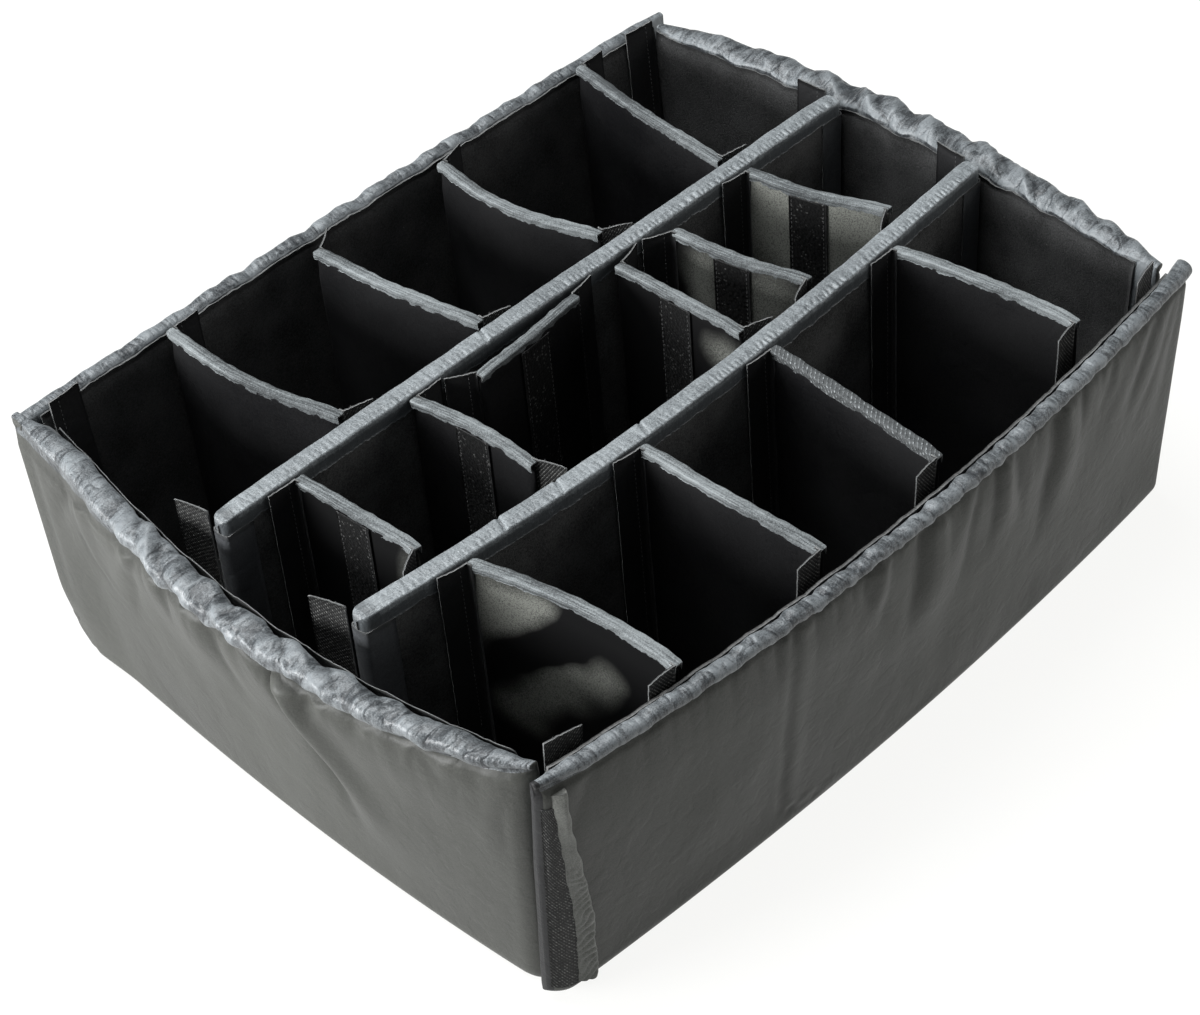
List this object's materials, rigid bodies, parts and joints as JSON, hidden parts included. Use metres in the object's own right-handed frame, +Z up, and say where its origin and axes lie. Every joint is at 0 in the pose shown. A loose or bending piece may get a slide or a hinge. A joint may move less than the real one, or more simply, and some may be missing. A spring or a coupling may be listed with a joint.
{
  "type": "padded case divider set",
  "caption": "Padded fabric liner for a hard case: curved walls, floor pad and lift-out dividers held by folding hook flaps.",
  "frame": {"origin": "under the middle of the liner's bounding box, on the surface it stands on", "axes": "+X along the long walls and long dividers, +Y from the near long wall to the far one, +Z up"},
  "size_m": [0.6166, 0.4812, 0.2028],
  "materials": {
    "wall_nylon": "mid grey woven nylon with a soft sheen, drawn into long shallow folds",
    "binding_nylon": "light blue-grey nylon, gathered and shiny along the top edges",
    "brushed_loop": "black brushed loop cloth, matt and slightly fuzzy",
    "panel_nylon": "smooth black nylon with a faint sheen",
    "hook_tape": "black woven hook tape in fine diagonal rows",
    "foam": "dark closed-cell foam, hidden inside the nylon"
  },
  "bodies": {
    "walls": {"floor_pad": "brushed_loop", "near_long_wall_cover": "wall_nylon", "near_long_wall_foam": "foam", "near_long_wall_lining": "brushed_loop", "right_end_wall_cover": "wall_nylon", "right_end_wall_foam": "foam", "right_end_wall_lining": "brushed_loop", "far_long_wall_cover": "wall_nylon", "far_long_wall_foam": "foam", "far_long_wall_lining": "brushed_loop", "left_end_wall_cover": "wall_nylon", "left_end_wall_foam": "foam", "left_end_wall_lining": "brushed_loop"},
    "left_end_wall_near_flap": {"left_end_wall_near_flap": "hook_tape"},
    "left_end_wall_far_flap": {"left_end_wall_far_flap": "hook_tape"},
    "right_end_wall_near_flap": {"right_end_wall_near_flap": "hook_tape"},
    "right_end_wall_far_flap": {"right_end_wall_far_flap": "hook_tape"},
    "far_long_divider": {"far_long_divider": "brushed_loop", "far_long_divider_binding": "binding_nylon"},
    "far_long_divider_left_flap": {"far_long_divider_left_flap": "hook_tape"},
    "far_long_divider_right_flap": {"far_long_divider_right_flap": "hook_tape"},
    "near_long_divider": {"near_long_divider": "brushed_loop", "near_long_divider_binding": "binding_nylon"},
    "near_long_divider_left_flap": {"near_long_divider_left_flap": "hook_tape"},
    "near_long_divider_right_flap": {"near_long_divider_right_flap": "hook_tape"},
    "far_divider_1": {"far_divider_1": "panel_nylon", "far_divider_1_binding": "binding_nylon"},
    "far_divider_2": {"far_divider_2": "panel_nylon", "far_divider_2_binding": "binding_nylon"},
    "far_divider_3": {"far_divider_3": "panel_nylon", "far_divider_3_binding": "binding_nylon"},
    "far_divider_4": {"far_divider_4": "panel_nylon", "far_divider_4_binding": "binding_nylon"},
    "centre_divider_1": {"centre_divider_1": "panel_nylon", "centre_divider_1_binding": "binding_nylon", "centre_divider_1_strip": "hook_tape"},
    "centre_divider_2": {"centre_divider_2": "panel_nylon", "centre_divider_2_binding": "binding_nylon", "centre_divider_2_strip": "hook_tape"},
    "centre_divider_3": {"centre_divider_3": "panel_nylon", "centre_divider_3_binding": "binding_nylon", "centre_divider_3_strip": "hook_tape"},
    "centre_divider_4": {"centre_divider_4": "panel_nylon", "centre_divider_4_binding": "binding_nylon", "centre_divider_4_strip": "hook_tape"},
    "centre_divider_5": {"centre_divider_5": "panel_nylon", "centre_divider_5_binding": "binding_nylon", "centre_divider_5_strip": "hook_tape"},
    "stowed_divider": {"stowed_divider": "panel_nylon", "stowed_divider_binding": "binding_nylon", "stowed_divider_strip": "hook_tape"},
    "near_divider_1": {"near_divider_1": "panel_nylon", "near_divider_1_binding": "binding_nylon"},
    "near_divider_2": {"near_divider_2": "panel_nylon", "near_divider_2_binding": "binding_nylon"},
    "near_divider_3": {"near_divider_3": "panel_nylon", "near_divider_3_binding": "binding_nylon"},
    "near_divider_4": {"near_divider_4": "panel_nylon", "near_divider_4_binding": "binding_nylon"}
  },
  "joints": [
    {"name": "left_end_wall_near_flap_peel", "type": "hinge", "parent": "walls", "child": "left_end_wall_near_flap", "pos_m": [-0.25792, -0.19187, 0.0113], "axis": [0, -0.056, 0.9984], "range_deg": [0, 85]},
    {"name": "left_end_wall_far_flap_peel", "type": "hinge", "parent": "walls", "child": "left_end_wall_far_flap", "pos_m": [-0.25792, 0.21368, 0.0113], "axis": [0, 0.0459, 0.9989], "range_deg": [-85, 0]},
    {"name": "right_end_wall_near_flap_peel", "type": "hinge", "parent": "walls", "child": "right_end_wall_near_flap", "pos_m": [0.26888, -0.19187, 0.0113], "axis": [0, -0.056, 0.9984], "range_deg": [-85, 0]},
    {"name": "right_end_wall_far_flap_peel", "type": "hinge", "parent": "walls", "child": "right_end_wall_far_flap", "pos_m": [0.26888, 0.21368, 0.0113], "axis": [0, 0.0459, 0.9989], "range_deg": [0, 85]},
    {"name": "far_long_divider_lift", "type": "slide", "parent": "walls", "child": "far_long_divider", "axis": [0, 0, 1], "range_m": [0, 0.21]},
    {"name": "far_long_divider_left_flap_peel", "type": "hinge", "parent": "far_long_divider", "child": "far_long_divider_left_flap", "pos_m": [-0.2592, 0.07147, 0.0113], "axis": [0.0051, 0, 1], "range_deg": [-85, 0]},
    {"name": "far_long_divider_right_flap_peel", "type": "hinge", "parent": "far_long_divider", "child": "far_long_divider_right_flap", "pos_m": [0.27229, 0.07147, 0.0113], "axis": [0.036, 0, 0.9994], "range_deg": [0, 85]},
    {"name": "near_long_divider_lift", "type": "slide", "parent": "walls", "child": "near_long_divider", "axis": [0, 0, 1], "range_m": [0, 0.21]},
    {"name": "near_long_divider_left_flap_peel", "type": "hinge", "parent": "near_long_divider", "child": "near_long_divider_left_flap", "pos_m": [-0.2592, -0.04749, 0.0113], "axis": [0.0051, 0, 1], "range_deg": [-85, 0]},
    {"name": "near_long_divider_right_flap_peel", "type": "hinge", "parent": "near_long_divider", "child": "near_long_divider_right_flap", "pos_m": [0.27229, -0.04643, 0.0113], "axis": [0.036, 0, 0.9994], "range_deg": [0, 85]},
    {"name": "far_divider_1_lift", "type": "slide", "parent": "walls", "child": "far_divider_1", "axis": [0, 0, 1], "range_m": [0, 0.21]},
    {"name": "far_divider_2_lift", "type": "slide", "parent": "walls", "child": "far_divider_2", "axis": [0, 0, 1], "range_m": [0, 0.21]},
    {"name": "far_divider_3_lift", "type": "slide", "parent": "walls", "child": "far_divider_3", "axis": [0, 0, 1], "range_m": [0, 0.21]},
    {"name": "far_divider_4_lift", "type": "slide", "parent": "walls", "child": "far_divider_4", "axis": [0, 0, 1], "range_m": [0, 0.21]},
    {"name": "centre_divider_1_lift", "type": "slide", "parent": "walls", "child": "centre_divider_1", "axis": [0, 0, 1], "range_m": [0, 0.21]},
    {"name": "centre_divider_2_lift", "type": "slide", "parent": "walls", "child": "centre_divider_2", "axis": [0, 0, 1], "range_m": [0, 0.21]},
    {"name": "centre_divider_3_lift", "type": "slide", "parent": "walls", "child": "centre_divider_3", "axis": [0, 0, 1], "range_m": [0, 0.21]},
    {"name": "centre_divider_4_lift", "type": "slide", "parent": "walls", "child": "centre_divider_4", "axis": [0, 0, 1], "range_m": [0, 0.21]},
    {"name": "centre_divider_5_lift", "type": "slide", "parent": "walls", "child": "centre_divider_5", "axis": [0, 0, 1], "range_m": [0, 0.21]},
    {"name": "stowed_divider_lift", "type": "slide", "parent": "walls", "child": "stowed_divider", "axis": [0, 0, 1], "range_m": [0, 0.21]},
    {"name": "near_divider_1_lift", "type": "slide", "parent": "walls", "child": "near_divider_1", "axis": [0, 0, 1], "range_m": [0, 0.21]},
    {"name": "near_divider_2_lift", "type": "slide", "parent": "walls", "child": "near_divider_2", "axis": [0, 0, 1], "range_m": [0, 0.21]},
    {"name": "near_divider_3_lift", "type": "slide", "parent": "walls", "child": "near_divider_3", "axis": [0, 0, 1], "range_m": [0, 0.21]},
    {"name": "near_divider_4_lift", "type": "slide", "parent": "walls", "child": "near_divider_4", "axis": [0, 0, 1], "range_m": [0, 0.21]}
  ]
}
